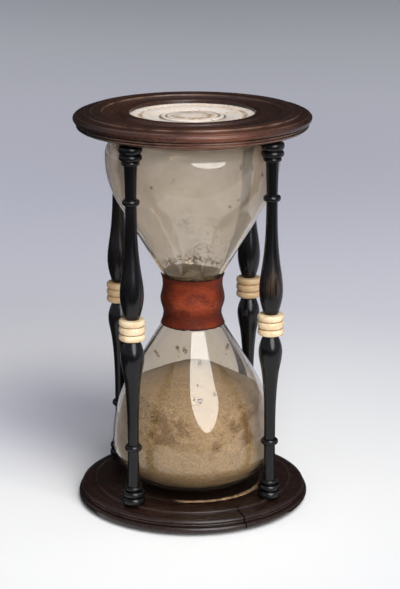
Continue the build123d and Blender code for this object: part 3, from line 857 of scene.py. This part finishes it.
# Painted shade round the lower waist, under the swell, broken up by the mottle.
waist_shade = times(tree, near(tree, height, *waist_shade_around_height), band(tree, mottle, 0.40, 0.60, 0.35, 0.70))
hide = blend(tree, waist_shade, hide, (0.045, 0.0075, 0.0034, 1))
# Painted shade on the left and right sides of the sleeve.
off_middle = lay(tree, "Math", {0: place["X"]}, operation="ABSOLUTE")[0]
side_shade = band(tree, off_middle, *leather_shaded_sides, 0.0, 0.70)
hide = blend(tree, side_shade, hide, (0.040, 0.0070, 0.0034, 1))
edges = larger(tree, band(tree, height, *upper_edge_heights), band(tree, height, *lower_edge_heights))
hide = blend(tree, edges, hide, (0.015, 0.006, 0.0045, 1))
dulled = band(tree, mottle, 0.3, 0.7, 0.44, 0.56)
feed(tree, shader, {"Base Color": hide, "Roughness": dulled, "Specular IOR Level": 0.10})
wrinkles = noise(tree, where, 260, 4, (1, 1, 2.2), 0.6, 1.0)
relief = lay(tree, "Math", {0: times(tree, pebble, 0.35), 1: wrinkles}, operation="ADD")[0]
rough_up(tree, shader, relief, 0.0007, 0.8)

smooth(sleeve, 60)
dress(sleeve, "neck_leather", binding_leather)


# Balusters: four stacks of an ebony spindle, a bone collar and a second ebony spindle turned over.
# The spindles are tenoned into the plates, and a dowel runs through each collar.
corners = ("front_left", "front_right", "rear_right", "rear_left")
collar_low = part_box("bone_collar_front_left")[0].z
spindle_length = collar_low - plate_thickness
dowel_radius = 0.0018
tenon_radius = 0.0024
tenon_length = 0.0060
foot_beads = (
    (0.0, 0.0036, 0.00437, 0.00545),
    (0.0040, 0.0067, 0.00449, 0.0053),
    (0.0071, 0.0089, 0.00366, 0.0042),
)
foot_neck_radii = (0.0039, 0.0030)
throat_radius = 0.0026
astragal_half = 0.00125
astragal_radii = (0.0033, 0.00405)
lower_astragal = 0.028
upper_astragal = 0.026
shaft_slopes = (-0.04, -0.01)
lower_belly = ((0.0030, 0.0300), (0.0040, 0.0185), (0.00555, 0.0085))
lower_belly_slopes = (0.005, 0.055, 0.13, 0.02, -0.42)
upper_belly = ((0.0030, 0.0360), (0.0040, 0.0250), (0.00555, 0.0116))
upper_belly_slopes = (0.01, 0.06, 0.125, 0.01, -0.36)
spindle_end_radius = 0.0033
collar_beads = ((0.0, 0.0030), (0.0033, 0.0066), (0.0069, 0.0099))
collar_radii = (0.00525, 0.00615)
rubbed_belly = (0.0335, -0.0375, 0.1150)
rubbed_reach = (0.008, 0.003)
rear_shade_y = (0.0, 0.025)
lathe_steps_spindle = 56
lathe_steps_collar = 64


def spindle_section(astragal, belly_points, belly_slopes):
    """Outline of a spindle on its foot. Its belly's points have a radius and a distance from the collar."""
    astragal_low, astragal_high = astragal - astragal_half, astragal + astragal_half
    section = [(0, -tenon_length), (tenon_radius, -tenon_length), (tenon_radius, 0)]
    for this_bead, next_bead, neck in zip(foot_beads, foot_beads[1:], foot_neck_radii):
        section += [*bead(*this_bead), (neck, this_bead[1]), (neck, next_bead[0])]
    section += bead(*foot_beads[-1])
    shaft = [(foot_neck_radii[-1], foot_beads[-1][1]), (throat_radius, astragal_low)]
    belly = [(throat_radius, astragal_high)]
    belly += [(radius, spindle_length - distance) for radius, distance in belly_points]
    belly += [(spindle_end_radius, spindle_length)]
    section += drawn_through(shaft, shaft_slopes, 10)
    section += bead(astragal_low, astragal_high, *astragal_radii)
    section += drawn_through(belly, belly_slopes, 14)
    return [*section, (0, spindle_length)]


lower_section = spindle_section(lower_astragal, lower_belly, lower_belly_slopes)
upper_section = spindle_section(upper_astragal, upper_belly, upper_belly_slopes)
lower_spindle = turn_on_lathe("lower_spindle", lower_section, lathe_steps_spindle)
upper_spindle = turn_on_lathe("upper_spindle", upper_section, lathe_steps_spindle)
collar_section = [(dowel_radius, 0)]
for low, high in collar_beads:
    collar_section += bead(low, high, *collar_radii)
collar_section += [(dowel_radius, collar_beads[-1][1]), (dowel_radius, 0)]
collar = turn_on_lathe("bone_collar", collar_section, lathe_steps_collar)
for turned in (lower_spindle, upper_spindle, collar):
    smooth(turned, 40)

ebony, tree, shader, where = start_finish("spindle_ebony")
streaks = noise(tree, where, 900, 4, (1, 1, 0.05), 0.6, 0.3)
wear_and_highlight = band(tree, noise(tree, where, 60, 3, (1, 1, 0.6)), 0.50, 0.66)
crests = band(tree, lay(tree, "NewGeometry", {})["Pointiness"], 0.51, 0.60)
black = blend(tree, band(tree, streaks, 0.45, 0.75), (0.0022, 0.0020, 0.0026, 1), (0.006, 0.0045, 0.0040, 1))
black = blend(tree, times(tree, wear_and_highlight, 0.12), black, (0.026, 0.016, 0.011, 1))
black = blend(tree, times(tree, crests, 0.3), black, (0.016, 0.014, 0.013, 1))
gripped = band(tree, away_from(tree, where, rubbed_belly), *rubbed_reach)
gripped = times(tree, gripped, band(tree, streaks, 0.35, 0.65))
black = blend(tree, times(tree, gripped, 0.5), black, (0.075, 0.045, 0.028, 1))
dulled = band(tree, streaks, 0.3, 0.7, 0.16, 0.26)
feed(tree, shader, {"Base Color": black, "Roughness": dulled, "Specular IOR Level": 0.36})
rough_up(tree, shader, streaks, 0.00003)

collar_bone, tree, shader, where = start_finish("collar_bone")
clouds = noise(tree, where, 240, 4)
# Painted shade: the rear collars are made browner and darker.
rear_shade = band(tree, lay(tree, "SeparateXYZ", {"Vector": where})["Y"], *rear_shade_y, 0.0, 0.6)
fibres = noise(tree, where, 1500, 3, (1, 1, 0.12))
grooves = band(tree, lay(tree, "NewGeometry", {})["Pointiness"], 0.495, 0.42)
bone = blend(tree, band(tree, clouds, 0.35, 0.7), (0.80, 0.645, 0.43, 1), (0.66, 0.46, 0.25, 1))
bone = blend(tree, times(tree, band(tree, fibres, 0.58, 0.72), 0.45), bone, (0.42, 0.25, 0.11, 1))
bone = blend(tree, times(tree, grooves, 0.9), bone, (0.20, 0.10, 0.038, 1))
bone = blend(tree, rear_shade, bone, (0.40, 0.25, 0.115, 1))
dulled = band(tree, clouds, 0.3, 0.7, 0.28, 0.40)
feed(tree, shader, {"Base Color": bone, "Roughness": dulled})
feed(tree, shader, {"Subsurface Weight": 0.08, "Subsurface Radius": (0.0010, 0.0007, 0.0004)})
rough_up(tree, shader, fibres, 0.00004)

for corner in corners:
    low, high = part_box(f"bone_collar_{corner}")
    east, north = (low.x + high.x) / 2, (low.y + high.y) / 2
    stack = (
        (lower_spindle, "lower_spindle", plate_thickness, 0.0, ebony, "spindle_wood"),
        (collar, "bone_collar", collar_low, 0.0, collar_bone, "bone"),
        (upper_spindle, "upper_spindle", total_height - plate_thickness, math.pi, ebony, "spindle_wood"),
    )
    for turned, name, foot, over, material, slot in stack:
        node = f"{name}_{corner}"
        piece = copy_of(turned, f"{node}_turning", (east, north, foot), (over, 0, 0))
        dress(piece, node, material)
for turned in (lower_spindle, upper_spindle, collar):
    bpy.data.objects.remove(turned)


# Studio: a white paper floor with a painted pool of light round the object that greys with distance, painted
# shadow and shade, and a painted glow far off that fades into a pale room. It is lit by a large soft lamp
# from the front right and a small one overhead. Only reflections see the four black flags round the object.
# The camera stands where the photograph was taken, a little to the left and above.
floor_size = 8.0
floor_centre = (-0.025, 0, 0)
floor_fade_reach = 2.0
floor_tones = (
    (0.05, (0.985, 0.985, 0.975, 1)),
    (0.09, (0.90, 0.90, 0.91, 1)),
    (0.17, (0.76, 0.76, 0.82, 1)),
    (0.32, (0.79, 0.79, 0.92, 1)),
    (0.75, (0.95, 0.96, 1.0, 1)),
)
floor_shades = (
    ((-0.058, 0.128, 0), 0.13, 0.5, (0.46, 0.46, 0.66, 1)),
    ((0.20, 0.65, 0), 0.50, 0.6, (0.68, 0.68, 0.74, 1)),
)
glow_colour = (0.78, 0.78, 1.0, 1)
near_glow_reach = (0.6, 1.7)
near_glow_sides = (0.30, -0.30)
near_glow = (0.02, 0.075)
far_glow_reach = (1.6, 3.8)
far_glow = (0.0, 0.25)
room_light = (0.091, 0.096, 0.115, 1)
room_colour = (0.37, 0.38, 0.45, 1)
camera_azimuth = math.radians(-7.44)
flags = (
    ("front_flag", 0.0, -1.914, 0.001, 5.0, 3.4, 0),
    ("left_flag", -1.64, 0.60, 0.001, 3.0, 1.6, 0),
    ("near_flag", 0.0, 0.06, 0.001, 0.30, 0.18, 0),
    ("rear_flag", 0.0, 2.4, 1.25, 6.0, 2.5, 90),
)


def seen_directly(tree):
    """1 for the rays of the camera, of reflections and of glass, and 0 for the rays that light things."""
    rays = lay(tree, "LightPath", {})
    mirrored = larger(tree, rays["Is Glossy Ray"], rays["Is Transmission Ray"])
    return larger(tree, rays["Is Camera Ray"], mirrored)


bpy.ops.object.select_all(action="DESELECT")
bpy.ops.mesh.primitive_plane_add(size=floor_size)
floor = bpy.context.object
floor.name = "studio_floor"
bpy.ops.object.mode_set(mode="EDIT")
bpy.ops.mesh.subdivide(number_cuts=3)
bpy.ops.object.mode_set(mode="OBJECT")
paper, tree, shader, where = start_finish("studio_paper")
# Painted pool of light: the paper is lightest round the object, greys with distance, and turns paler and
# bluer far off.
distance = away_from(tree, where, floor_centre)
faded = lay(tree, "Math", {0: distance, 1: floor_fade_reach}, operation="DIVIDE")[0]
paper_tone = lay(tree, "ValToRGB", {"Fac": faded})["Color"]
ramp = paper_tone.node.color_ramp
ramp.elements[0].position, ramp.elements[0].color = floor_tones[0]
ramp.elements[1].position, ramp.elements[1].color = floor_tones[-1]
for share, tone in floor_tones[1:-1]:
    ramp.elements.new(share).color = tone
# Painted shadow of the object on the paper behind it to the left, and painted shade far back on the right.
for spot, reach, share, tone in floor_shades:
    shaded = band(tree, away_from(tree, where, spot), reach, 0.0, 0.0, share)
    paper_tone = blend(tree, shaded, paper_tone, tone)
# A painted glow on the far paper, which only the camera, reflections and glass see.
east = lay(tree, "SeparateXYZ", {"Vector": where})["X"]
painted_glow = times(tree, band(tree, distance, *near_glow_reach), band(tree, east, *near_glow_sides, *near_glow))
painted_glow = larger(tree, painted_glow, band(tree, distance, *far_glow_reach, *far_glow))
painted_glow = times(tree, painted_glow, seen_directly(tree))
feed(tree, shader, {"Base Color": paper_tone, "Roughness": 1.0, "Specular IOR Level": 0.0})
feed(tree, shader, {"Emission Color": glow_colour, "Emission Strength": painted_glow})
floor.data.materials.append(paper)

world = bpy.data.worlds.new("pale_room")
bpy.context.scene.world = world
world.use_nodes = True
tree = world.node_tree
room = blend(tree, seen_directly(tree), room_light, room_colour)
feed(tree, tree.nodes["Background"], {"Color": room, "Strength": 1.0})

flag_cloth, tree, shader, where = start_finish("flag_cloth_black")
feed(tree, shader, {"Base Color": (0.03, 0.03, 0.03, 1), "Roughness": 1.0})
for name, east, north, up, width, depth, lean in flags:
    bpy.ops.object.select_all(action="DESELECT")
    bpy.ops.mesh.primitive_plane_add(size=1)
    flag = bpy.context.object
    flag.name = name
    flag.scale = (width, depth, 1)
    flag.location = (east, north, up)
    flag.rotation_euler.x = math.radians(lean)
    bpy.ops.object.transform_apply(location=True, rotation=True, scale=True)
    flag.rotation_euler.z = camera_azimuth
    bpy.ops.object.transform_apply(rotation=True)
    flag.data.materials.append(flag_cloth)
    flag.visible_camera = False
    flag.visible_diffuse = False
    flag.visible_transmission = False
    flag.visible_shadow = False


def soft_lamp(name, azimuth, elevation, distance, width, height, power):
    """Hang one oval soft lamp, aimed at the object's middle. Its azimuth counts from the camera."""
    turn = camera_azimuth + math.radians(azimuth)
    rise = math.radians(elevation)
    away = Vector((math.sin(turn) * math.cos(rise), -math.cos(turn) * math.cos(rise), math.sin(rise)))
    light = bpy.data.lights.new(name, "AREA")
    light.shape = "ELLIPSE"
    light.size = width
    light.size_y = height
    light.energy = power
    lamp = bpy.data.objects.new(name, light)
    lamp.location = away * distance + Vector((0, 0, total_height / 2))
    lamp.rotation_euler = away.to_track_quat("Z", "Y").to_euler()
    lamp.visible_camera = False
    bpy.context.collection.objects.link(lamp)


soft_lamp("front_softbox", azimuth=22, elevation=35, distance=2.1, width=1.6, height=2.6, power=66.5)
soft_lamp("overhead_softbox", azimuth=8, elevation=76, distance=1.7, width=1.1, height=1.1, power=5.0)

camera_distance = 0.8492
camera_height = 0.3458
camera_pitch = 0.2805
camera_yaw = 0.0041
focal_pixels = 1857.7
photo_long_side = 589
sensor = 36.0
camera_data = bpy.data.cameras.new("photo_camera")
camera_data.sensor_width = sensor
camera_data.lens = focal_pixels * sensor / photo_long_side
camera = bpy.data.objects.new("photo_camera", camera_data)
camera.location = (
    camera_distance * math.sin(camera_azimuth),
    -camera_distance * math.cos(camera_azimuth),
    camera_height,
)
camera.rotation_euler = (math.pi / 2 - camera_pitch, 0, camera_azimuth - camera_yaw)
bpy.context.collection.objects.link(camera)
bpy.context.scene.camera = camera
bpy.context.scene.view_settings.view_transform = "Standard"
